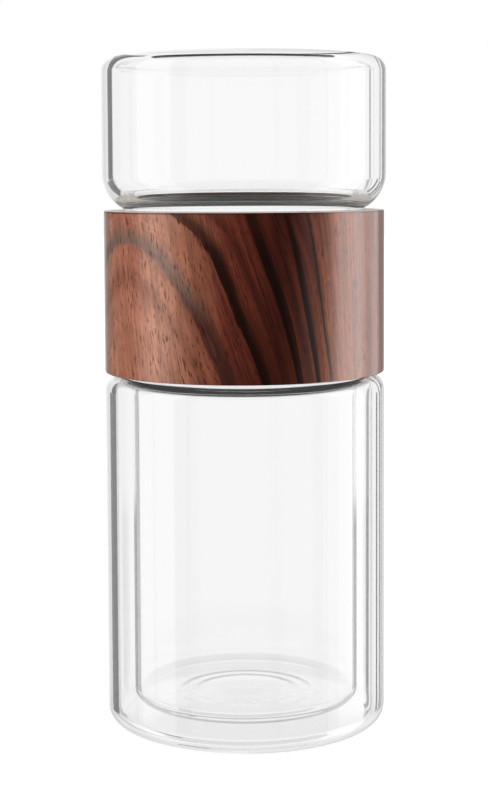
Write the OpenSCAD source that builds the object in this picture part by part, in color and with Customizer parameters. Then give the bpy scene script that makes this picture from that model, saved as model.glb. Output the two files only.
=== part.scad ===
// Tea flask in three screwed parts: a double-wall glass flask, a wood-grain collar with a strainer, a glass brew cup.
// Every piece is a turned form about the Z axis. The flask stands on z = 0.

/* [Flask jacket] */
// Outer diameter of the flask body
body_d = 76; // [72:0.5:86]
// Height of the flask body, from the table to the top of its shoulder
body_h = 95.1; // [70:0.1:140]
// Thickness of the jacket's side wall
jacket_wall = 2.8; // [1.8:0.1:3.2]
// Thickness of the jacket's base
base_wall = 2.2; // [1.8:0.1:4]
// Thickness of the glass over the shoulder
shoulder_wall = 2.6; // [1.8:0.1:4]
// Outer radius where the side turns into the base
base_corner_r = 5.5; // [4:0.5:10]
// Outer radius where the side turns into the shoulder
shoulder_r = 4; // [3.5:0.5:8]
// Diameter of the shallow hollow under the base, inside the ring it stands on
punt_d = 50; // [30:1:56]
// Depth of that hollow
punt_h = 0.7; // [0.2:0.1:1.2]
// Length of the hollow's sloping side, on the radius
punt_slope = 18; // [3:0.5:20]

/* [Glass necks] */
// Diameter of the smooth bead on the flask's neck, beside the collar
flask_neck_d = 68.6; // [66:0.2:70]
// Diameter of the smooth bead on the cup's neck, beside the collar
cup_neck_d = 65.4; // [62:0.2:68]
// How far each threaded length lies under its bead, on the radius
thread_relief = 0.7; // [0.4:0.1:1]
// Length of each bead that goes into the collar
bead_h = 3; // [1:0.5:5]
// Thickness of the flask's neck, under the thread
flask_neck_wall = 2; // [1.4:0.1:2.4]
// Thickness of the cup's neck, under the thread
cup_neck_wall = 2; // [1.6:0.1:3]
// Length of bare neck between the flask's shoulder and the collar
flask_neck_gap = 0.9; // [0.8:0.1:5]

/* [Inner liner] */
// Room between the liner and the inside of the flask's neck
liner_gap = 1; // [0.6:0.1:2]
// Thickness of the liner's side
liner_wall = 1.6; // [1:0.1:2.4]
// Room between the jacket's base and the liner's floor
floor_gap = 3.8; // [3.4:0.1:10]
// Outer radius where the liner's side turns into its floor
liner_corner_r = 3.6; // [2.5:0.1:8]
// Thickness of the liner's floor
liner_floor = 2; // [1.4:0.1:4]
// Height of the fused lip over the top of the neck
lip_h = 2; // [1.4:0.1:4]
// Rounding of the glass lips
lip_r = 0.8; // [0.2:0.1:0.9]

/* [Seal-off tip] */
// Diameter of the sealed stem through the base
tip_stem_d = 3; // [2:0.2:5]
// Diameter of the bead on the stem, inside the wall space
tip_bead_d = 4.6; // [3.8:0.2:7]
// Height of the bead over the base
tip_bead_h = 2.2; // [1:0.1:3.2]
// Rounding of the bead
tip_round_r = 1.9; // [0.5:0.1:2.2]

/* [Collar] */
// Height of the collar
collar_h = 43.7; // [38:0.1:60]
// Thickness of the sleeve
sleeve_wall = 2; // [1.6:0.1:4]
// Rounding of the sleeve's outer edges
sleeve_edge_r = 0.7; // [0.2:0.1:1.2]
// Thickness of the sleeve's top lip, which covers the end of the core
sleeve_lip_h = 0.8; // [0.5:0.1:2]
// Thickness of the core's wall
core_wall = 1.2; // [1:0.1:3]
// Rounding of the core's edges, where the necks are led in
core_lead_r = 0.5; // [0.2:0.1:0.9]
// Thickness of the web across the core
web_h = 3; // [2.4:0.1:5]
// Thickness of each sealing washer
seal_h = 2; // [1:0.1:3]
// Width of each sealing washer, on the radius
seal_w = 3.6; // [3.2:0.1:4.8]

/* [Strainer] */
// Outer diameter of the strainer's rim
strainer_d = 48; // [40:0.5:50]
// Width of the rim, on the radius
rim_w = 4.2; // [3:0.1:6]
// Thickness of the rim's sheet
rim_h = 0.6; // [0.4:0.1:0.8]
// Depth of the dish under the rim
dish_depth = 3; // [2:0.5:6]
// Outer radius where the dish's side turns into its floor
dish_corner_r = 2; // [1:0.1:2.4]
// Thickness of the dish's sheet
dish_sheet = 0.5; // [0.3:0.1:0.8]
// Diameter of each hole in the dish
hole_d = 1.3; // [0.8:0.1:1.8]
// Distance between the rings of holes
hole_pitch = 2.7; // [2.4:0.1:4]
// Thickness of the grommet outside the rim
grommet_wall = 1.5; // [1:0.1:2.5]
// How far the grommet's groove takes in the rim
groove_depth = 1.5; // [1:0.1:2.4]
// Height of the grommet
grommet_h = 2.6; // [2.2:0.1:4]
// Depth of the grommet's seat in the web
seat_depth = 1.8; // [1:0.1:2]
// Width of the ledge that the grommet stands on
ledge_w = 2.5; // [1.6:0.1:3.2]

/* [Brew cup] */
// Outer diameter of the cup
cup_d = 76.9; // [74:0.1:86]
// Height that the cup stands over the collar
cup_h = 41.1; // [30:0.1:70]
// Thickness of the cup's side
cup_wall = 2.9; // [2:0.1:3.2]
// Thickness of the cup's closed end
cup_end_wall = 2.2; // [1.8:0.1:4]
// Room between the collar and the lowest line of the cup's round corner
cup_gap = 0.3; // [0.3:0.1:4]
// Outer radius of the corner beside the neck
cup_low_r = 10; // [6:0.5:11]
// Outer radius of the corner at the closed end
cup_high_r = 5; // [3.5:0.5:8]

/* [Clearances] */
// Play between a bead and the core's bore, on the radius
bore_clear = 0.4; // [0.3:0.05:0.8]
// Play between a sealing washer and the core's bore
seal_clear = 0.4; // [0.3:0.05:0.8]
// Play between the grommet and its seat
seat_clear = 0.3; // [0.3:0.05:0.6]
// Play between the rim and the groove, and between the dish and the rim
sheet_clear = 0.2; // [0.1:0.05:0.4]
// Glue line between the sleeve and the core
glue_line = 0.1; // [0.05:0.05:0.3]
// Play of the seal-off stem in its hole
stem_clear = 0.1; // [0.05:0.05:0.3]

/* [Hidden] */
$fn = 96;

glass = [0.84, 0.93, 0.95, 0.45];
rosewood = [0.40, 0.17, 0.10];
moulded = [0.22, 0.13, 0.10];
silicone = [0.88, 0.88, 0.86];
steel = [0.72, 0.73, 0.74];

// How far a cut runs past the face that it goes through
past = 1;
// Smallest inner rounding that hot glass takes
least_r = 1;

// Heights, from the table up
collar_z = body_h + flask_neck_gap;
collar_top_z = collar_z + collar_h;
web_z = collar_z + (collar_h - web_h) / 2;
web_top_z = web_z + web_h;
flask_lip_z = web_z - seal_h;
flask_neck_z = flask_lip_z - lip_h;
cup_lip_z = web_top_z + seal_h;
cup_corner_z = collar_top_z + cup_gap;
cup_top_z = collar_top_z + cup_h;
core_end = sleeve_lip_h;
liner_z = base_wall + floor_gap;
seat_z = web_top_z - seat_depth;

// Radii of the glass
body_r = body_d / 2;
flask_neck_r = flask_neck_d / 2;
flask_root_r = flask_neck_r - thread_relief;
flask_neck_in_r = flask_root_r - flask_neck_wall;
liner_r = flask_neck_in_r - liner_gap;
mouth_r = liner_r - liner_wall;
cup_r = cup_d / 2;
cup_neck_r = cup_neck_d / 2;
cup_root_r = cup_neck_r - thread_relief;
cup_neck_in_r = cup_root_r - cup_neck_wall;
stem_hole_r = tip_stem_d / 2 + stem_clear;

// Radii of the collar
flask_bore_r = flask_neck_r + bore_clear;
cup_bore_r = cup_neck_r + bore_clear;
core_r = max(flask_bore_r, cup_bore_r) + core_wall;
sleeve_in_r = core_r + glue_line;
collar_r = sleeve_in_r + sleeve_wall;
lower_seal_r = flask_bore_r - seal_clear;
upper_seal_r = cup_bore_r - seal_clear;

// Radii of the strainer
rim_r = strainer_d / 2;
rim_in_r = rim_r - rim_w;
dish_r = rim_in_r - sheet_clear;
grommet_r = rim_r + sheet_clear + grommet_wall;
grommet_in_r = rim_r - groove_depth;
flange_r = grommet_in_r - sheet_clear;
seat_r = grommet_r + seat_clear;
groove_h = rim_h + sheet_clear;
groove_z = seat_z + (grommet_h - groove_h) / 2;
dish_z = groove_z + rim_h - dish_depth;
hole_rings = floor((dish_r - dish_sheet - hole_pitch / 2) / hole_pitch);

// Shapes that repeat

// Half section of a turned block, from the axis out to r, with its two outer corners rounded
module block_section(r, z0, z1, low_r = 0, high_r = 0) {
    difference() {
        translate([0, z0]) square([r, z1 - z0]);
        if (low_r > 0) corner_section(r, z0, low_r, -1);
        if (high_r > 0) corner_section(r, z1, high_r, 1);
    }
}

// What the rounding takes off a corner: z_side is 1 at the top and -1 at the bottom, r_side is -1 on an inner edge
module corner_section(r, z, corner_r, z_side, r_side = 1) {
    translate([r - r_side * corner_r, z - z_side * corner_r])
        mirror([0, (1 - z_side) / 2])
            mirror([(1 - r_side) / 2, 0])
                difference() {
                    square(corner_r + past);
                    circle(corner_r);
                }
}

// Flat ring on the axis
module ring(r_in, r_out, z0, z1) {
    rotate_extrude()
        translate([r_in, z0]) square([r_out - r_in, z1 - z0]);
}

// Flask

module outer_jacket() {
    color(glass)
        rotate_extrude()
            difference() {
                union() {
                    block_section(body_r, 0, body_h, base_corner_r, shoulder_r);
                    block_section(flask_neck_r, body_h - shoulder_r, collar_z + bead_h);
                    block_section(flask_root_r, body_h, flask_neck_z);
                }
                block_section(body_r - jacket_wall, base_wall, body_h - shoulder_wall,
                    max(base_corner_r - jacket_wall, least_r), max(shoulder_r - shoulder_wall, least_r));
                block_section(flask_neck_in_r, base_wall + base_corner_r, flask_neck_z + past);
                block_section(stem_hole_r, -past, base_wall + past);
                punt_section();
            }
}

// The hollow under the base, with its side sloping in from the ring that the flask stands on
module punt_section() {
    polygon([
        [0, -past], [punt_d / 2, -past], [punt_d / 2, 0],
        [punt_d / 2 - punt_slope, punt_h], [0, punt_h],
    ]);
}

module inner_liner() {
    color(glass)
        rotate_extrude()
            difference() {
                union() {
                    block_section(liner_r, liner_z, flask_neck_z, liner_corner_r);
                    block_section(flask_root_r, flask_neck_z, flask_lip_z, 0, lip_r);
                }
                block_section(mouth_r, liner_z + liner_floor, flask_lip_z + past,
                    max(liner_corner_r - liner_wall, least_r));
                corner_section(mouth_r, flask_lip_z, lip_r, 1, -1);
            }
}

module seal_off_tip() {
    bead_r = tip_bead_d / 2;
    color(glass)
        rotate_extrude()
            union() {
                block_section(tip_stem_d / 2, punt_h, base_wall + tip_bead_h / 2);
                block_section(bead_r, base_wall, base_wall + tip_bead_h, 0, min(tip_round_r, tip_bead_h));
            }
}

// Collar

module lower_seal() {
    color(silicone)
        ring(lower_seal_r - seal_w, lower_seal_r, flask_lip_z, web_z);
}

module upper_seal() {
    color(silicone)
        ring(upper_seal_r - seal_w, upper_seal_r, web_top_z, cup_lip_z);
}

module collar_sleeve() {
    color(rosewood)
        rotate_extrude()
            difference() {
                block_section(collar_r, collar_z, collar_top_z, sleeve_edge_r, sleeve_edge_r);
                block_section(sleeve_in_r, collar_z - past, collar_top_z - sleeve_lip_h);
                block_section(cup_bore_r, collar_z, collar_top_z + past);
            }
}

module coupling_core() {
    color(moulded)
        rotate_extrude()
            difference() {
                block_section(core_r, collar_z + core_end, collar_top_z - core_end);
                block_section(flask_bore_r, collar_z, web_z);
                block_section(cup_bore_r, web_top_z, collar_top_z);
                block_section(seat_r - ledge_w, web_z - past, web_top_z + past);
                block_section(seat_r, seat_z, web_top_z + past);
                corner_section(flask_bore_r, collar_z + core_end, core_lead_r, -1, -1);
                corner_section(cup_bore_r, collar_top_z - core_end, core_lead_r, 1, -1);
            }
}

module strainer_grommet() {
    color(silicone)
        difference() {
            ring(grommet_in_r, grommet_r, seat_z, seat_z + grommet_h);
            ring(grommet_in_r - past, rim_r + sheet_clear, groove_z, groove_z + groove_h);
        }
}

module strainer_rim() {
    color(steel)
        ring(rim_in_r, rim_r, groove_z, groove_z + rim_h);
}

module strainer_dish() {
    flange_z = groove_z + rim_h;
    color(steel)
        difference() {
            rotate_extrude()
                difference() {
                    union() {
                        block_section(dish_r, dish_z, flange_z + dish_sheet, dish_corner_r);
                        block_section(flange_r, flange_z, flange_z + dish_sheet);
                    }
                    block_section(dish_r - dish_sheet, dish_z + dish_sheet, flange_z + dish_sheet + past,
                        dish_corner_r - dish_sheet);
                }
            dish_holes();
        }
}

// One hole in the middle and rings of six, twelve, eighteen and so on
module dish_holes() {
    for (ring_n = [0 : hole_rings])
        for (k = [0 : max(6 * ring_n, 1) - 1])
            rotate(360 * k / max(6 * ring_n, 1))
                translate([ring_n * hole_pitch, 0, dish_z - past])
                    cylinder(d = hole_d, h = dish_sheet + 2 * past);
}

// Brew cup

module brew_cup() {
    color(glass)
        rotate_extrude()
            difference() {
                union() {
                    block_section(cup_root_r, cup_lip_z, cup_corner_z + cup_low_r, lip_r);
                    block_section(cup_neck_r, collar_top_z - bead_h, cup_corner_z + cup_low_r);
                    block_section(cup_r, cup_corner_z, cup_top_z, cup_low_r, cup_high_r);
                }
                block_section(cup_neck_in_r, cup_lip_z - past, cup_corner_z + cup_low_r);
                block_section(cup_r - cup_wall, cup_corner_z + cup_wall, cup_top_z - cup_end_wall,
                    max(cup_low_r - cup_wall, least_r), max(cup_high_r - cup_end_wall, least_r));
                corner_section(cup_neck_in_r, cup_lip_z, lip_r, -1, -1);
            }
}

outer_jacket();
inner_liner();
seal_off_tip();
lower_seal();
collar_sleeve();
coupling_core();
strainer_grommet();
strainer_rim();
strainer_dish();
upper_seal();
brew_cup();
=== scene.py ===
import math
from functools import reduce

import bmesh
import bpy
from mathutils import Matrix, Vector


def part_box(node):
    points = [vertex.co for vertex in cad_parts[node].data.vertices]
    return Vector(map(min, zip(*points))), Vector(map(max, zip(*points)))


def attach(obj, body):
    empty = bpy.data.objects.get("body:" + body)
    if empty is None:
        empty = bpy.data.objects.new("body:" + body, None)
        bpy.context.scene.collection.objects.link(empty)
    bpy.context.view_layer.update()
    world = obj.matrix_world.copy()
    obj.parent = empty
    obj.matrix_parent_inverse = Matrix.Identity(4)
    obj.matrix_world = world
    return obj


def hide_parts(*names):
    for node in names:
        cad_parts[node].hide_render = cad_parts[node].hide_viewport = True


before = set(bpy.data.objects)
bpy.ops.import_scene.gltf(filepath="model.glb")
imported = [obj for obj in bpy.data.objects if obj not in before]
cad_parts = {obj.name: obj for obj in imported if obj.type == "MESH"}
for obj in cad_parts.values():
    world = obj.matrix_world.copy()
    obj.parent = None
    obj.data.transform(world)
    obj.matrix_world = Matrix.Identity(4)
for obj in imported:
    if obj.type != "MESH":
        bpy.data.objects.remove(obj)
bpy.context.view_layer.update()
scene = bpy.context.scene
scene.view_settings.view_transform = "Standard"
mm = 0.001           # in metres
perMetre = 1000.0    # mm


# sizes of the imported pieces: outer radius, lowest and highest point, in mm

def sizes(node):
    low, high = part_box(node)
    return high[0] / mm, low[2] / mm, high[2] / mm


collarRadius, collarLow, collarTop = sizes("collar_sleeve")
collarMiddle = (collarLow + collarTop) / 2

# camera

cameraSet = {
    "lens": 80.05,       # mm
    "sensor": 36.0,      # mm on the long side of the 488 x 800 frame
    "distance": 484.4,   # mm from the axis
    "height": 148.65,    # mm over the table
    "pitch": 4.12,       # degrees down
    "roll": -0.27,       # degrees
    "shiftX": -0.0004, "shiftY": -0.1188,   # of the long side
    "clipStart": 10.0,   # mm
}


def makeCamera(values):
    data = bpy.data.cameras.new("camera")
    data.lens = values["lens"]
    data.sensor_width = values["sensor"]
    data.shift_x, data.shift_y = values["shiftX"], values["shiftY"]
    data.clip_start = values["clipStart"] * mm
    camera = bpy.data.objects.new("camera", data)
    scene.collection.objects.link(camera)
    tilt = Matrix.Rotation(math.radians(90 - values["pitch"]), 4, "X")
    roll = Matrix.Rotation(math.radians(values["roll"]), 4, "Z")
    stand = Matrix.Translation((0, -values["distance"] * mm, values["height"] * mm))
    camera.matrix_world = stand @ tilt @ roll
    scene.camera = camera


makeCamera(cameraSet)
print("camera set")


# shader sockets as numbers

class Wire:
    def __init__(self, tree, socket=None):
        self.tree, self.socket = tree, socket

    def node(self, kind, settings=None, inputs=None, output=0):
        made = self.tree.nodes.new(kind)
        for name, value in (settings or {}).items():
            if name == "stops":
                self.setStops(made.color_ramp, value)
            else:
                setattr(made, name, value)
        for name, value in (inputs or {}).items():
            if isinstance(value, Wire):
                self.tree.links.new(value.socket, made.inputs[name])
            else:
                made.inputs[name].default_value = value
        return Wire(self.tree, made.outputs[output] if len(made.outputs) else None)

    def setStops(self, ramp, stops):
        while len(ramp.elements) < len(stops):
            ramp.elements.new(0.5)
        for element, (place, tone) in zip(ramp.elements, stops):
            element.position = place
            element.color = tone if hasattr(tone, "__len__") else (tone, tone, tone, 1)

    def out(self, name):
        return Wire(self.tree, self.socket.node.outputs[name])

    def split(self):
        parts = self.node("ShaderNodeSeparateXYZ", {}, {0: self})
        return [parts.out(axis) for axis in "XYZ"]

    def maths(self, operation, first, second=0.0):
        return self.node("ShaderNodeMath", {"operation": operation}, {0: first, 1: second})

    def __add__(self, other):
        return self.maths("ADD", self, other)

    def __sub__(self, other):
        return self.maths("SUBTRACT", self, other)

    def __rsub__(self, other):
        return self.maths("SUBTRACT", other, self)

    def __mul__(self, other):
        return self.maths("MULTIPLY", self, other)

    def __truediv__(self, other):
        return self.maths("DIVIDE", self, other)

    __radd__ = __add__
    __rmul__ = __mul__

    def power(self, exponent):
        return self.maths("POWER", self, exponent)

    def larger(self, other):
        return self.maths("MAXIMUM", self, other)

    def under(self, limit):
        return self.maths("LESS_THAN", self, limit)

    def near(self, middle, reach):
        return self.maths("ABSOLUTE", self - middle).under(reach)

    def eased(self, low, high, toLow=0.0, toHigh=1.0):
        return self.node("ShaderNodeMapRange", {"interpolation_type": "SMOOTHSTEP"}, {
            "Value": self, "From Min": low, "From Max": high, "To Min": toLow, "To Max": toHigh})

    def between(self, low, high, edge):
        return self.eased(low - edge, low + edge) * self.eased(high - edge, high + edge, 1.0, 0.0)

    def blended(self, first, second):
        # in a Mix node the colours are sockets 6 and 7, and their blend is output 2
        return self.node("ShaderNodeMix", {"data_type": "RGBA"}, {"Factor": self, 6: first, 7: second}, 2)

    def noise(self, place, scale, detail=2.0):
        return self.node("ShaderNodeTexNoise", {}, {
            "Vector": place, "Scale": scale, "Detail": detail, "Roughness": 0.5})

    def grain(self, axes, detail=2.0):
        return self.noise(self.node("ShaderNodeCombineXYZ", {}, dict(enumerate(axes))), 1.0, detail)

    def varied(self, low=0.0, high=1.0):
        return self.eased(0.3, 0.7, low, high)   # where most of a noise lies


def newMaterial(name, constants):
    material = bpy.data.materials.new(name)
    material.use_nodes = True
    shader = material.node_tree.nodes["Principled BSDF"]
    for socket, value in constants.items():
        shader.inputs[socket].default_value = value
    wire = Wire(material.node_tree)
    return material, shader, wire, wire.node("ShaderNodeTexCoord", output="Object")


def feed(wire, shader, links):
    for socket, value in links.items():
        wire.tree.links.new(value.socket, shader.inputs[socket])


def bumped(wire, height, depth):
    return wire.node("ShaderNodeBump", {}, {"Height": height, "Distance": depth * mm, "Strength": 1.0})


def colour(red, green, blue):
    def linear(value):
        value /= 255
        return value / 12.92 if value <= 0.04045 else ((value + 0.055) / 1.055) ** 2.4
    return linear(red), linear(green), linear(blue), 1.0


# in the sets of the finishes a row of four is a range of a noise or a place, and the values at its two ends

# clear glass, one finish for each of the three vessels

glassSet = {
    "ior": 1.47, "tint": (0.99, 0.99, 0.99, 1),
    "ripple": 14.0, "rippleDetail": 1.0, "rippleDepth": 0.004,   # per metre, mm
    "haze": 60.0, "roughness": (0.45, 0.75, 0.0, 0.006),
    # light that is caught for more turns or steps ends on a painted glow, an emission of white of this
    # strength
    "turns": 3.5, "steps": 10.5, "caught": 0.85,
    # mm under and over the collar between which the painted glow is darker: painted shade of the collar
    "collarUnder": 5.0, "collarOver": 7.3, "collarEdge": 1.0, "collarShade": 0.93,
    # mm, a floor lower than this and within this radius, where it ends sooner and on a greyer glow: painted
    # shade in the floor
    "floorTop": 0.0, "floorReach": 26.0, "floorTurns": 1.5, "floorShade": 0.45,
}
linerGlassSet = {**glassSet, "floorTop": 8.6, "caught": 0.97}


def makeGlass(name, values):
    material, shader, wire, place = newMaterial(name, {
        "IOR": values["ior"], "Transmission Weight": 1.0, "Base Color": values["tint"]})
    ripple = wire.noise(place, values["ripple"], values["rippleDetail"])
    feed(wire, shader, {
        "Roughness": wire.noise(place, values["haze"]).eased(*values["roughness"]),
        "Normal": bumped(wire, ripple, values["rippleDepth"])})
    # light that is caught in a wall for many turns would end as black; instead it ends on a painted glow, an
    # emission in the glass
    x, y, z = (axis * perMetre for axis in place.split())
    inFloor = (x * x + y * y).under(values["floorReach"] ** 2) * z.under(values["floorTop"])
    inCollar = z.between(collarLow - values["collarUnder"], collarTop + values["collarOver"],
                         values["collarEdge"])
    path = wire.node("ShaderNodeLightPath")
    turns = values["turns"] - inFloor * (values["turns"] - values["floorTurns"])
    free = path.out("Glossy Depth").under(turns) * path.out("Ray Depth").under(values["steps"])
    # painted glow: an emission that stands in for the light caught in the wall
    white = wire.node("ShaderNodeEmission", {}, {"Strength": values["caught"]})
    # painted shade: the glow is darker near the collar and greyer in the liner's floor
    light = 1 - inCollar * values["collarShade"] - inFloor * values["floorShade"]
    caught = wire.node("ShaderNodeMixShader", {}, {0: light, 2: white})
    clear = Wire(wire.tree, shader.outputs[0])
    ending = wire.node("ShaderNodeMixShader", {}, {0: free, 1: caught, 2: clear})
    wire.tree.links.new(ending.socket, material.node_tree.nodes["Material Output"].inputs["Surface"])
    return material


jacketGlass = makeGlass("jacketGlass", glassSet)
linerGlass = makeGlass("linerGlass", linerGlassSet)
cupGlass = makeGlass("cupGlass", glassSet)
print("glass made")

# lacquered rosewood: growth rings that a round sleeve cuts into one tall arch

woodSet = {
    "coatRoughness": 0.2, "coatIor": 1.5,
    "archSide": -54.0,                       # degrees round the sleeve from the front
    "archRise": 118.0,                       # mm that a ring falls by in a quarter turn from there
    "steepen": 150.0, "steepenFrom": 0.55,   # how fast the fall gets steeper, and from how far away
    "wobbleScale": 38.0, "wobble": 5.0,      # per metre, mm that a ring moves by
    "shiverScale": 260.0, "shiver": 1.4,
    "fray": 6.0,                             # mm that fibres move a streak's edge by
    "flatten": 0.04, "flattenFrom": 126.0, "flattenUntil": (0.22, 0.42),   # of the arch near the upper edge
    # ring height in mm, sharp side, core, soft side, darkness
    "ashStreak": (133.0, 1.6, 2.0, 7.0, 0.9),
    "ashWiden": 1.5, "ashTurns": (110.0, 128.0),   # lower down it is so much wider, and dark
    "ashGrowth": (0.3, 0.6, 0.6, 1.0),
    "streaks": [(121.5, 3.0, 1.0, 4.0, 0.26), (157.5, 1.2, 3.0, 8.0, 0.94),
                (174.0, 3.0, 1.0, 6.0, 0.45), (189.0, 2.0, 3.0, 9.0, 0.97), (205.0, 3.0, 1.0, 7.0, 0.5),
                (217.5, 2.0, 3.0, 8.0, 0.97), (243.5, 1.6, 2.0, 6.0, 0.9)],
    "backScale": 0.035, "backStreaks": (0.52, 0.66, 0.0, 0.85), "backFrom": (430.0, 470.0),   # at the back
    "streakFade": (126.0, 138.0, 1.0, 0.82),       # towards the upper edge
    "streakFibre": (0.2, 0.5, 0.75, 1.0),
    # of the fibres under the arch, on its slope and past it, in mm aside per mm down, and where the slope is
    "lean": (0.14, 0.36, 0.06), "slopeStart": (0.05, 0.35), "slopeEnd": (0.55, 1.1),
    # fibres per mm across and along, detail
    "coarse": (0.55, 0.022, 3.0), "fine": (1.5, 0.05, 3.0), "pores": (2.4, 0.36, 1.0),
    "cloudScale": 150.0, "cloudDetail": 3.0,
    "growthScale": (0.7, 0.03),                    # per mm of ring height and aside
    # how much darker and lighter the wood gets by each, and how far the fibres count in the arch and past it
    "coarseTone": (-0.22, 0.24), "fineTone": (-0.24, 0.26),
    "cloudTone": (-0.09, 0.09), "growthTone": (-0.09, 0.09), "fibreTone": (0.1, 0.4, 0.55, 1.0),
    "poreEdge": (0.57, 0.67), "poreCloud": (0.35, 0.6, 0.3, 0.7),
    "roughness": (0.2, 0.8, 0.52, 0.38),
    # mm of ring height that the arch falls by, base colour there
    "tones": [(0, colour(168, 107, 84)), (4, colour(182, 128, 105)), (20, colour(126, 75, 56)),
              (37, colour(92, 39, 24)), (72, colour(55, 17, 8)), (105, colour(80, 35, 23)),
              (160, colour(136, 75, 48))],
    "dark": colour(18, 5, 3), "pore": colour(46, 16, 9),
    "ash": colour(116, 99, 90), "ashLow": colour(46, 26, 22),
    "bareDepth": 0.08, "bareEdge": 0.05, "bare": colour(230, 222, 214),   # mm, painted highlight: the sleeve's top end is painted near-white, with no coat
    "shadeLineDepth": 0.3, "shadeLineDark": 0.6,                                     # mm of painted shade, a darker line under the top end
}


def makeWood(values):
    material, shader, wire, place = newMaterial("rosewood", {
        "Specular IOR Level": 0.0, "Coat Roughness": values["coatRoughness"], "Coat IOR": values["coatIor"]})
    x, y, z = (axis * perMetre for axis in place.split())
    side = math.radians(values["archSide"])
    # 0 in the middle of the arch, 1 a quarter turn from it, 2 behind it
    away = 1 - (x * math.sin(side) - y * math.cos(side)) / collarRadius
    steep = (away - values["steepenFrom"]).larger(0.0)
    wobble = (wire.noise(place, values["wobbleScale"]) - 0.5) * values["wobble"]
    shiver = (wire.noise(place, values["shiverScale"]) - 0.5) * values["shiver"]
    raised = (z - values["flattenFrom"]).larger(0.0)
    flat = raised * raised * away.eased(*values["flattenUntil"], 1.0, 0.0) * values["flatten"]
    fall = away * values["archRise"] + steep * steep * values["steepen"]

    # fibres and pores run down the sleeve, and lean with the streaks
    under, slope, past = values["lean"]
    lean = away.eased(*values["slopeStart"], under, slope)
    lean = lean - away.eased(*values["slopeEnd"], 0.0, slope - past)
    twist = (z - collarMiddle) * lean / collarRadius
    straight = wire.node("ShaderNodeVectorRotate", {"rotation_type": "Z_AXIS"},
                         {"Vector": place, "Angle": twist})

    def fibre(across, along, detail):
        stretched = wire.node("ShaderNodeVectorMath", {"operation": "MULTIPLY"},
                              {0: straight, 1: (across * perMetre, across * perMetre, along * perMetre)})
        return wire.noise(stretched, 1.0, detail)

    coarse, fine, pores = (fibre(*values[name]) for name in ("coarse", "fine", "pores"))
    ring = z + fall + flat + wobble + shiver + (fine - 0.5) * values["fray"]

    def band(height, sharp, core, soft, depth, spread=1.0):
        offset = (ring - height) / spread
        return offset.eased(-sharp, 0.0) * offset.eased(core, core + soft, 1.0, 0.0) * depth

    streak = reduce(Wire.larger, (band(*row) for row in values["streaks"]))
    behind = wire.grain([ring * values["backScale"]]).eased(*values["backStreaks"])
    streak = streak.larger(behind * ring.eased(*values["backFrom"])) * z.eased(*values["streakFade"])

    farthest = values["tones"][-1][0]
    stops = [(height / farthest, tone) for height, tone in values["tones"]]
    base = wire.node("ShaderNodeValToRGB", {"stops": stops}, {"Fac": (fall + wobble) / farthest})
    cloud = wire.noise(place, values["cloudScale"], values["cloudDetail"])
    along, aside = values["growthScale"]
    growth = wire.grain([ring * along, x * aside])
    shade = coarse.varied(*values["coarseTone"]) + fine.varied(*values["fineTone"])
    shade = shade * away.eased(*values["fibreTone"])
    shade = shade + cloud.varied(*values["cloudTone"]) + growth.varied(*values["growthTone"])
    base = wire.node("ShaderNodeVectorMath", {"operation": "SCALE"}, {0: base, "Scale": 1 + shade})

    low = z.eased(*values["ashTurns"], 1.0, 0.0)
    ash = band(*values["ashStreak"], spread=1 + low * (values["ashWiden"] - 1))
    ash = ash * growth.eased(*values["ashGrowth"])
    body = ash.blended(base, low.blended(values["ash"], values["ashLow"]))
    pores = pores.eased(*values["poreEdge"]) * cloud.eased(*values["poreCloud"])
    body = pores.blended(body, values["pore"])
    body = (streak * fine.eased(*values["streakFibre"])).blended(body, values["dark"])
    # painted highlight: the top end is near-white and has no coat
    bareLow, shadeLine = collarTop - values["bareDepth"], values["shadeLineDepth"]
    bare = z.eased(bareLow - values["bareEdge"], bareLow + values["bareEdge"])
    # painted shade: a darker line just under the top end
    edge = z.eased(bareLow - 2 * shadeLine, bareLow - shadeLine) * values["shadeLineDark"]
    body = bare.blended(edge.blended(body, values["pore"]), values["bare"])
    feed(wire, shader, {
        "Base Color": body, "Coat Weight": 1 - bare, "Roughness": fine.eased(*values["roughness"])})
    return material


rosewood = makeWood(woodSet)
print("wood made")

# the pieces inside the collar: scales per metre, depths of relief in mm

siliconeSet = {
    "ior": 1.41, "subsurface": 0.15, "subsurfaceScale": 2.0,   # mm
    "low": colour(222, 222, 216), "high": colour(238, 238, 232), "cloudScale": 180.0, "cloudDetail": 3.0,
    "roughness": (0.2, 0.8, 0.42, 0.56), "reliefScale": 2600.0, "relief": 0.01,
}
steelSet = {
    "low": colour(176, 178, 180), "high": colour(206, 208, 210),
    "lines": 9.0, "lineDrift": 0.1, "lineDetail": 3.0,         # brushed lines per mm, and changes along them
    "roughness": (0.25, 0.75, 0.22, 0.4), "relief": 0.004,
}
coreSet = {
    "ior": 1.49, "low": colour(72, 70, 68), "high": colour(88, 86, 84), "toneScale": 90.0,
    "upperPaintedShade": 0.7, "shadeEdge": 1.5, "black": (0, 0, 0, 1),   # painted shade: it is darker over the web
    "gritScale": 1500.0, "gritDetail": 3.0, "roughness": (0.2, 0.8, 0.46, 0.62), "relief": 0.015,
}


def makeSilicone(values):
    material, shader, wire, place = newMaterial("silicone", {
        "IOR": values["ior"], "Subsurface Weight": values["subsurface"],
        "Subsurface Scale": values["subsurfaceScale"] * mm})
    cloud = wire.noise(place, values["cloudScale"], values["cloudDetail"])
    feed(wire, shader, {
        "Base Color": cloud.varied().blended(values["low"], values["high"]),
        "Roughness": cloud.eased(*values["roughness"]),
        "Normal": bumped(wire, wire.noise(place, values["reliefScale"]), values["relief"])})
    return material


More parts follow.
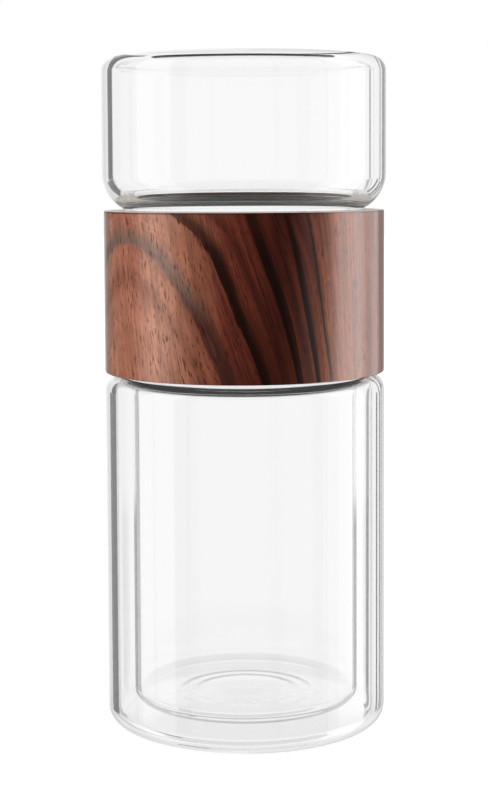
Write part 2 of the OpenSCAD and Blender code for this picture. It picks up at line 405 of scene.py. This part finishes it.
def makeSteel(values):
    material, shader, wire, place = newMaterial("steel", {"Metallic": 1.0})
    x, y, z = (axis * perMetre for axis in place.split())
    reach = (x * x + y * y).power(0.5)
    brushed = [reach * values["lines"], z * values["lines"], x * values["lineDrift"]]
    lines = wire.grain(brushed, values["lineDetail"])
    feed(wire, shader, {
        "Base Color": lines.varied().blended(values["low"], values["high"]),
        "Roughness": lines.eased(*values["roughness"]),
        "Normal": bumped(wire, lines, values["relief"])})
    return material


def makeCore(values):
    material, shader, wire, place = newMaterial("mouldedCore", {"IOR": values["ior"]})
    grit = wire.noise(place, values["gritScale"], values["gritDetail"])
    z = place.split()[2] * perMetre
    tone = wire.noise(place, values["toneScale"]).varied().blended(values["low"], values["high"])
    # painted shade: the core's colour is darker over the web
    over = z.eased(collarMiddle, collarMiddle + values["shadeEdge"]) * values["upperPaintedShade"]
    feed(wire, shader, {
        "Base Color": over.blended(tone, values["black"]),
        "Roughness": grit.eased(*values["roughness"]),
        "Normal": bumped(wire, grit, values["relief"])})
    return material


silicone = makeSilicone(siliconeSet)
steel = makeSteel(steelSet)
mouldedCore = makeCore(coreSet)
print("inner finishes made")

# turned pieces; corners of an outline are radius, height and rounding in mm

turnSet = {
    "quarterSteps": 56, "longest": 2.0,   # steps in a quarter turn, mm of the longest stretch of an outline
    "arcStep": 6.0, "arcLeast": 3,        # degrees in a step of a round corner, and its fewest steps
    "merge": 0.001, "near": 0.01,         # mm within which points are one, and lie on a wall
}


def roundCorner(bm, vert, radius):
    near, far = (edge.other_vert(vert).co - vert.co for edge in vert.link_edges)
    turn = math.pi - near.angle(far)
    steps = max(turnSet["arcLeast"], round(turn / math.radians(turnSet["arcStep"])))
    bmesh.ops.bevel(bm, geom=[vert], offset=radius * math.tan(turn / 2), offset_type="OFFSET",
                    affect="VERTICES", segments=steps, profile=0.5, material=-1)


def turned(corners, closed, longest=turnSet["longest"], fine=()):
    merge = turnSet["merge"] * mm
    bm = bmesh.new()
    verts = [bm.verts.new((r * mm, 0, z * mm)) for r, z, _ in corners]
    for first, second in zip(verts, verts[1:] + (verts[:1] if closed else [])):
        bm.edges.new((first, second))
    for vert, (_, _, radius) in zip(verts, corners):
        if radius:
            roundCorner(bm, vert, radius * mm)
    for edge in bm.edges[:]:
        middle = (edge.verts[0].co + edge.verts[1].co) / 2 / mm
        wanted = longest
        for radius, low, high, pitch in fine:
            if abs(middle.x - radius) < turnSet["near"] and low < middle.z < high:
                wanted = pitch
        cuts = math.ceil(edge.calc_length() / (wanted * mm)) - 1
        if cuts > 0:
            bmesh.ops.subdivide_edges(bm, edges=[edge], cuts=cuts)
    # a quarter turn, mirrored twice, is much quicker than a full turn
    bmesh.ops.spin(bm, geom=bm.verts[:] + bm.edges[:], cent=(0, 0, 0), axis=(0, 0, 1), angle=math.pi / 2,
                   steps=turnSet["quarterSteps"])
    bmesh.ops.remove_doubles(bm, verts=bm.verts[:], dist=merge)
    for axis in "XY":
        bmesh.ops.mirror(bm, geom=bm.verts[:] + bm.edges[:] + bm.faces[:], matrix=Matrix.Identity(4),
                         merge_dist=merge, axis=axis)
    bmesh.ops.remove_doubles(bm, verts=bm.verts[:], dist=merge)
    bmesh.ops.recalc_face_normals(bm, faces=bm.faces[:])
    return bm


# a screw thread is raised on a wall by moving its points along one helix

threadSet = {
    "lead": 6.4, "height": 0.6, "fade": 2.0,   # mm
    "width": 0.36,                             # of the lead
    "rowPitch": 0.32, "rowMargin": 1.0,        # mm between rows of points, and past the thread's ends
}


def raiseThread(bm, values, radius, low, high, phase, outward):
    for vert in bm.verts:
        reach = math.hypot(vert.co.x, vert.co.y)
        z = vert.co.z / mm
        if abs(reach / mm - radius) > turnSet["near"] or not low < z < high:
            continue
        turn = math.atan2(vert.co.y, vert.co.x) / (2 * math.pi)
        offset = abs((z / values["lead"] - turn - phase) % 1 - 0.5) * 2 / values["width"]
        ends = min(1, (z - low) / values["fade"], (high - z) / values["fade"])
        swell = values["height"] * ends * (0.5 + 0.5 * math.cos(math.pi * min(1, offset)))
        vert.co.xy *= 1 + outward * swell * mm / reach


def threaded(corners, threads, closed, phase, outward):
    margin, pitch = threadSet["rowMargin"], threadSet["rowPitch"]
    rows = [(radius, low - margin, high + margin, pitch) for radius, low, high in threads]
    bm = turned(corners, closed, fine=rows)
    for thread in threads:
        raiseThread(bm, threadSet, *thread, phase, outward)
    return bm


def addPiece(name, bm, material, body, nodes):
    mesh = bpy.data.meshes.new(name)
    bm.to_mesh(mesh)
    bm.free()
    mesh.polygons.foreach_set("use_smooth", [True] * len(mesh.polygons))
    mesh.materials.append(material)
    piece = bpy.data.objects.new(name, mesh)
    scene.collection.objects.link(piece)
    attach(piece, body)
    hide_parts(*nodes)
    return piece


# the two corners of a wall that turns over a round shoulder into a neck, with a fillet beside the neck

def shoulder(side, level, rounding, neck, fillet, up):
    reach = neck + fillet - side + rounding
    lift = math.sqrt((rounding + fillet) ** 2 - reach ** 2)
    half = math.tan(math.atan2(lift, reach) / 2)
    middle = level - up * rounding
    return [(side, middle + up * rounding * half, rounding),
            (neck, middle + up * (lift - fillet * half), fillet)]


# both necks have a bead at the collar's mouth, and past it the lower root of the thread

neckSet = {"beadHeight": 3.0, "relief": 0.7, "wall": 2.0, "beadEdge": 0.35, "rootFillet": 0.25}


def neckRadii(bead):
    root = bead - neckSet["relief"]
    return root, root - neckSet["wall"]


# flask: jacket with its fused tip, and liner

jacketSet = {
    "wall": 2.8, "base": 2.2, "baseRound": 4.2, "innerBaseRound": 2.7,
    "neckGap": 0.9, "shoulderRound": 4.0, "shoulderWall": 2.15, "neckFillet": 0.7,
    "innerShoulderRound": 2.2, "boreFillet": 1.0, "bead": 34.3,
    "hollow": 25.0, "hollowSlope": 18.0, "hollowDepth": 0.7, "hollowRound": 60.0,
    "tipFoot": 3.2, "tip": 1.0, "tipHeight": 1.6, "tipFillet": 1.5, "tipRound": 0.9,
    "seam": 0.02,       # between the neck and the fused lip
    "threadIn": 0.7,    # from both ends of the threaded length
}
linerSet = {
    "side": 30.6, "wall": 1.6, "floor": 2.0, "cornerRound": 3.6, "innerRound": 2.0,
    "lipHeight": 2.0, "lipRound": 0.8,
    # two low rings pressed into the underside of the floor: radius, width, rise towards the middle
    "rings": [(14.0, 1.7, 0.11), (18.0, 1.7, 0.11)], "ringRound": 2.0,
}


def jacketCorners(values):
    side, _, top = sizes("outer_jacket")
    root, bore = neckRadii(values["bead"])
    level = collarLow - values["neckGap"]
    inside, innerLevel = side - values["wall"], level - values["shoulderWall"]
    beadTop, neckTop = collarLow + neckSet["beadHeight"], top - values["seam"]
    floor, tipTop = values["base"], values["base"] + values["tipHeight"]
    return [
        (0, values["hollowDepth"], 0),
        (values["hollow"] - values["hollowSlope"], values["hollowDepth"], values["hollowRound"]),
        (values["hollow"], 0, values["hollowRound"]), (side, 0, values["baseRound"]),
        *shoulder(side, level, values["shoulderRound"], values["bead"], values["neckFillet"], up=1),
        (values["bead"], beadTop, neckSet["beadEdge"]), (root, beadTop, neckSet["rootFillet"]),
        (root, neckTop, 0), (bore, neckTop, 0),
        (bore, innerLevel, values["boreFillet"]), (inside, innerLevel, values["innerShoulderRound"]),
        (inside, floor, values["innerBaseRound"]), (values["tipFoot"], floor, values["tipFillet"]),
        (values["tip"], tipTop, values["tipRound"]), (0, tipTop, 0)]


def jacketThread(values):
    root, _ = neckRadii(values["bead"])
    _, _, top = sizes("outer_jacket")
    return root, collarLow + neckSet["beadHeight"] + values["threadIn"], top - values["threadIn"]


def linerCorners(values):
    lip, low, top = sizes("inner_liner")
    side, floor = values["side"], low + values["floor"]
    mouth, neckTop = side - values["wall"], top - values["lipHeight"]
    level = low + sum(rise for _, _, rise in values["rings"])
    under = [(0, level, 0)]
    for radius, width, rise in values["rings"]:
        under.append((radius - width / 2, level, values["ringRound"]))
        level -= rise
        under.append((radius + width / 2, level, values["ringRound"]))
    return [
        *under, (side, low, values["cornerRound"]), (side, neckTop, 0), (lip, neckTop, 0),
        (lip, top, values["lipRound"]), (mouth, top, values["lipRound"]),
        (mouth, floor, values["innerRound"]), (0, floor, 0)]


jacketMesh = threaded(jacketCorners(jacketSet), [jacketThread(jacketSet)],
                      closed=False, phase=0.0, outward=1)
jacket = addPiece("flaskJacket", jacketMesh, jacketGlass, "flask",
                  ["outer_jacket", "seal_off_tip"])
linerMesh = turned(linerCorners(linerSet), closed=False)
liner = addPiece("flaskLiner", linerMesh, linerGlass, "flask", ["inner_liner"])
print("flask turned")

# brew cup: closed end up, neck down

cupSet = {
    "wall": 2.9, "endWall": 1.9, "sink": 0.4, "lowRound": 10.0, "highRound": 3.8, "innerHighRound": 2.0,
    "bead": 32.7, "lipRound": 0.8, "neckFillet": 0.8, "boreFillet": 2.0,
    "threadIn": (1.7, 0.7),   # from the lip and from the bead
}


def cupCorners(values):
    side, lip, top = sizes("brew_cup")
    root, bore = neckRadii(values["bead"])
    low, beadLow = collarTop - values["sink"], collarTop - neckSet["beadHeight"]
    inside, innerTop = side - values["wall"], top - values["endWall"]
    innerLow, innerRound = low + values["wall"], values["lowRound"] - values["wall"]
    inner = shoulder(inside, innerLow, innerRound, bore, values["boreFillet"], up=-1)
    return [
        (0, top, 0), (side, top, values["highRound"]),
        *shoulder(side, low, values["lowRound"], values["bead"], values["neckFillet"], up=-1),
        (values["bead"], beadLow, neckSet["beadEdge"]), (root, beadLow, neckSet["rootFillet"]),
        (root, lip, values["lipRound"]), (bore, lip, values["lipRound"]),
        *reversed(inner), (inside, innerTop, values["innerHighRound"]), (0, innerTop, 0)]


def cupThread(values):
    root, _ = neckRadii(values["bead"])
    _, lip, _ = sizes("brew_cup")
    fromLip, fromBead = values["threadIn"]
    return root, lip + fromLip, collarTop - neckSet["beadHeight"] - fromBead


cupMesh = threaded(cupCorners(cupSet), [cupThread(cupSet)], closed=False, phase=0.0, outward=1)
cup = addPiece("brewCup", cupMesh, cupGlass, "cup", ["brew_cup"])
for piece in (jacket, liner, cup):
    piece.visible_shadow = False   # light goes through clear glass to what stands in it
print("cup turned")

# collar: sleeve and threaded core

sleeveSet = {"wall": 2.0, "lip": 0.8, "edgeRound": 0.35, "boreEdge": 0.3, "lipEdge": 0.2, "longest": 1.5}
coreShape = {
    "cupBore": 33.1, "flaskBore": 34.7, "web": 3.0, "seat": 26.0, "seatDepth": 1.8, "ledge": 2.5,
    "lead": 0.5, "endEdge": 0.2, "webFillet": 0.4, "seatEdge": 0.25, "seatFillet": 0.15,
    "holeEdges": (0.2, 0.3),    # over and under
    "threadFrom": (2.7, 3.5),   # threads start so far from the web and from the ends
}


def sleeveCorners(values):
    inside, lipLow = collarRadius - values["wall"], collarTop - values["lip"]
    bore = coreShape["cupBore"]
    return [
        (collarRadius, collarLow, values["edgeRound"]), (collarRadius, collarTop, values["edgeRound"]),
        (bore, collarTop, values["boreEdge"]), (bore, lipLow, values["lipEdge"]),
        (inside, lipLow, 0), (inside, collarLow, values["boreEdge"])]


def coreLevels(values):
    return collarMiddle - values["web"] / 2, collarMiddle + values["web"] / 2


def coreCorners(values):
    side, low, top = sizes("coupling_core")
    webLow, webTop = coreLevels(values)
    ledgeTop, hole = webTop - values["seatDepth"], values["seat"] - values["ledge"]
    holeOver, holeUnder = values["holeEdges"]
    return [
        (side, low, values["endEdge"]), (side, top, values["endEdge"]),
        (values["cupBore"], top, values["lead"]), (values["cupBore"], webTop, values["webFillet"]),
        (values["seat"], webTop, values["seatEdge"]), (values["seat"], ledgeTop, values["seatFillet"]),
        (hole, ledgeTop, holeOver), (hole, webLow, holeUnder),
        (values["flaskBore"], webLow, values["webFillet"]), (values["flaskBore"], low, values["lead"])]


def coreThreads(values):
    _, low, top = sizes("coupling_core")
    webLow, webTop = coreLevels(values)
    fromWeb, fromEnd = values["threadFrom"]
    return [(values["cupBore"], webTop + fromWeb, top - fromEnd),
            (values["flaskBore"], low + fromEnd, webLow - fromWeb)]


sleeveMesh = turned(sleeveCorners(sleeveSet), closed=True, longest=sleeveSet["longest"])
sleeve = addPiece("collarSleeve", sleeveMesh, rosewood, "collar", ["collar_sleeve"])
coreMesh = threaded(coreCorners(coreShape), coreThreads(coreShape), closed=True, phase=0.5, outward=-1)
addPiece("couplingCore", coreMesh, mouldedCore, "collar", ["coupling_core"])
print("collar turned")

# seals and strainer

sealSet = {"width": 3.6, "edge": 0.45}
rimSet = {"width": 4.2, "edge": 0.22}
grommetSet = {
    "width": 3.2, "groove": 1.5, "lipHeight": 0.9, "grooveEdge": 0.15,
    "edges": (0.5, 0.7, 0.3),   # outside under and over, inside
}


def ringCorners(node, width, edge):
    outer, low, high = sizes(node)
    inner = outer - width
    return [(outer, low, edge), (outer, high, edge), (inner, high, edge), (inner, low, edge)]


def grommetCorners(values):
    outer, low, high = sizes("strainer_grommet")
    inner, deep = outer - values["width"], outer - values["groove"]
    grooveLow, grooveTop = low + values["lipHeight"], high - values["lipHeight"]
    under, over, lip = values["edges"]
    return [
        (outer, low, under), (outer, high, over), (inner, high, lip),
        (inner, grooveTop, values["grooveEdge"]), (deep, grooveTop, 0),
        (deep, grooveLow, 0), (inner, grooveLow, values["grooveEdge"]), (inner, low, lip)]


for name, node, body in (("lowerSeal", "lower_seal", "lower_washer"),
                         ("upperSeal", "upper_seal", "upper_washer")):
    sealMesh = turned(ringCorners(node, **sealSet), closed=True)
    addPiece(name, sealMesh, silicone, body, [node])
grommetMesh = turned(grommetCorners(grommetSet), closed=True)
addPiece("strainerGrommet", grommetMesh, silicone, "strainer", ["strainer_grommet"])
rimMesh = turned(ringCorners("strainer_rim", **rimSet), closed=True)
addPiece("strainerRim", rimMesh, steel, "strainer", ["strainer_rim"])
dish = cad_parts["strainer_dish"]
dish.data.materials.clear()
dish.data.materials.append(steel)
print("strainer and seals made")

# studio: white floor and surround, with dark cards that only light through glass meets

studioSet = {
    "floorHalf": 4.0,            # m
    "floorDrop": 0.2,            # mm under the flask
    "floorGlow": 0.68, "floorColour": (0.55, 0.55, 0.55, 1),
    "fill": 0.8,                 # of the surround on matt surfaces
    # dark cards: from and to in degrees to the right of straight behind the object, from and to in degrees
    # over the horizon, and how dark; the last three rows are for the right side, the back and from above
    "cards": [(-42, -31, -4, 40, 0.88), (-41, -25, -20, -4, 0.86),
              (18.5, 21, -4, 40, 0.95), (27.3, 29.7, -4, 40, 0.9),
              (16.5, 20, -20, -4, 0.95), (22.5, 26.5, -20, -4, 0.95), (31.5, 35, -20, -4, 0.97),
              (-132, -118, -20, 40, 0.7), (-75, -70, -20, 40, 0.5),
              (93, 107, -30, 40, 0.7), (150, 155, -30, 40, 0.5),
              (-87, -73, -60, -20, 0.8), (-30, -25, -60, -20, 0.6)],
    "cardPasses": 6.5, "edgePasses": (2, 6),   # most surfaces passed to a card, and how many at an edge
    # cards for light that turns once at an edge of the liner or the cup, with the surfaces that it passes
    "edgeCards": [(-36, -14, -20, -10.5, 0.8, 5), (14, 36, -20, -10.5, 0.9, 5), (10.5, 22, -4, 40, 0.98, 2)],
    "cardEdge": 0.8,             # degrees, softness of a card's edge
    # degrees over the horizon where the dark overhead and underneath start, and how dark they are
    "overhead": (45, 0.95), "underneath": (-52, 0.22),
    # degrees over the horizon where the far table is and isn't in shade, how dark, and where that ends
    "tableShade": (-18.5, -15.5, 0.15), "tableEnd": (-34, -26),
    # degrees to the right of straight behind the object, brightness seen by reflection
    "mirror": [(-180, 0.03), (-110, 0.03), (-40, 0.06), (-28, 0.2), (-16, 0.9), (-3, 1), (6, 0.4),
               (64, 0.45), (115, 0.2), (135, 0.05), (180, 0.03)],
}


def makeSurround(values):
    world = bpy.data.worlds.new("studio")
    scene.world = world
    world.use_nodes = True
    world.node_tree.nodes.clear()
    wire = Wire(world.node_tree)
    x, y, z = wire.node("ShaderNodeTexCoord", output="Generated").split()
    turn = wire.maths("ARCTAN2", x, y) * math.degrees(1)
    rise = wire.maths("ARCSINE", z) * math.degrees(1)
    edge = values["cardEdge"]

    def card(left, right, low, high, depth):
        return turn.between(left, right, edge) * rise.between(low, high, edge) * depth

    # a card shows to light that runs through one vessel or turns once at the edge of a wall, so no faint
    # copies of it fill the middle of the glass
    path = wire.node("ShaderNodeLightPath")
    turns, passes = path.out("Glossy Depth"), path.out("Transmission Depth")
    through = turns.under(0.5) * passes.under(values["cardPasses"])
    few, many = (passes.near(count, 0.5) for count in values["edgePasses"])
    shown = through.larger(turns.under(1.5) * few.larger(many))
    dark = reduce(Wire.larger, (card(*row) for row in values["cards"])) * shown
    once = turns.near(1, 0.5)
    for *row, passed in values["edgeCards"]:
        dark = dark.larger(card(*row) * once * passes.near(passed, 1.5))
    start, depth = values["overhead"]
    dark = dark.larger(rise.eased(start - edge, start + edge) * depth)
    start, depth = values["underneath"]
    dark = dark.larger(rise.eased(start - edge, start + edge, 1.0, 0.0) * depth)
    low, high, depth = values["tableShade"]
    shade = rise.eased(low, high, depth, 0.0) * rise.eased(*values["tableEnd"])
    stops = [((angle + 180) / 360, bright) for angle, bright in values["mirror"]]
    mirror = wire.node("ShaderNodeValToRGB", {"stops": stops}, {"Fac": turn / 360 + 0.5})
    glow = values["fill"] + (mirror - values["fill"]) * path.out("Is Glossy Ray")
    glow = glow + ((1 - dark) * (1 - shade) - glow) * path.out("Is Transmission Ray")
    glow = glow + (1 - glow) * path.out("Is Camera Ray")
    light = wire.node("ShaderNodeBackground", {}, {"Color": (1, 1, 1, 1), "Strength": glow})
    wire.node("ShaderNodeOutputWorld", {}, {"Surface": light})


def makeFloor(values):
    bm = bmesh.new()
    bmesh.ops.create_grid(bm, x_segments=1, y_segments=1, size=values["floorHalf"])
    bmesh.ops.translate(bm, verts=bm.verts[:], vec=(0, 0, -values["floorDrop"] * mm))
    mesh = bpy.data.meshes.new("floor")
    bm.to_mesh(mesh)
    bm.free()
    material = bpy.data.materials.new("floorWhite")
    material.use_nodes = True
    material.node_tree.nodes.clear()
    wire = Wire(material.node_tree)
    matt = wire.node("ShaderNodeBsdfDiffuse", {}, {"Color": values["floorColour"]})
    seen = wire.node("ShaderNodeLightPath", output="Is Camera Ray")
    glow = wire.node("ShaderNodeEmission", {}, {"Strength": seen * values["floorGlow"]})
    both = wire.node("ShaderNodeAddShader", {}, {0: matt, 1: glow})
    wire.node("ShaderNodeOutputMaterial", {}, {"Surface": both})
    mesh.materials.append(material)
    floor = bpy.data.objects.new("floor", mesh)
    scene.collection.objects.link(floor)
    floor.visible_transmission = False
    floor.visible_glossy = False


makeSurround(studioSet)
makeFloor(studioSet)

lampAim = (0, 0, 0.12)   # m
lampSet = {
    # place, width and height in m, light sent out per square metre and steradian, what it shows in, and the
    # one piece it shines on
    "rightPanel": ((0.66, 0.0, 0.12), (0.52, 1.8), 1.1, "gloss", None),
    "sleevePanel": ((0.65, 0.035, 0.12), (0.36, 1.8), 3.4, "gloss", sleeve),
    "edgePanel": ((0.545, 0.355, 0.12), (0.36, 1.8), 1.6, "gloss", sleeve),
    "rightScreen": ((0.66, -0.34, 0.12), (0.46, 2.0), 0.27, "gloss", sleeve),
    "leftScreen": ((-0.72, -0.19, 0.12), (0.44, 2.0), 0.95, "gloss", None),
    "keyPanel": ((-0.25, -1.0, 0.55), (0.7, 0.7), 3.6, "matt", None),
}


def makeLamp(name, spot, size, radiance, shows, piece):
    data = bpy.data.lights.new(name, "AREA")
    data.shape = "RECTANGLE"
    data.size, data.size_y = size
    data.energy = radiance * math.pi * size[0] * size[1]
    lamp = bpy.data.objects.new(name, data)
    scene.collection.objects.link(lamp)
    lamp.location = spot
    lamp.rotation_euler = (Vector(lampAim) - Vector(spot)).to_track_quat("-Z", "Y").to_euler()
    lamp.visible_transmission = False
    lamp.visible_camera = False
    lamp.visible_glossy = shows == "gloss"
    lamp.visible_diffuse = shows == "matt"
    if piece:
        lit = bpy.data.collections.new(name + "Lights")
        lit.objects.link(piece)
        lamp.light_linking.receiver_collection = lit


for name, row in lampSet.items():
    makeLamp(name, *row)
print("studio lit")
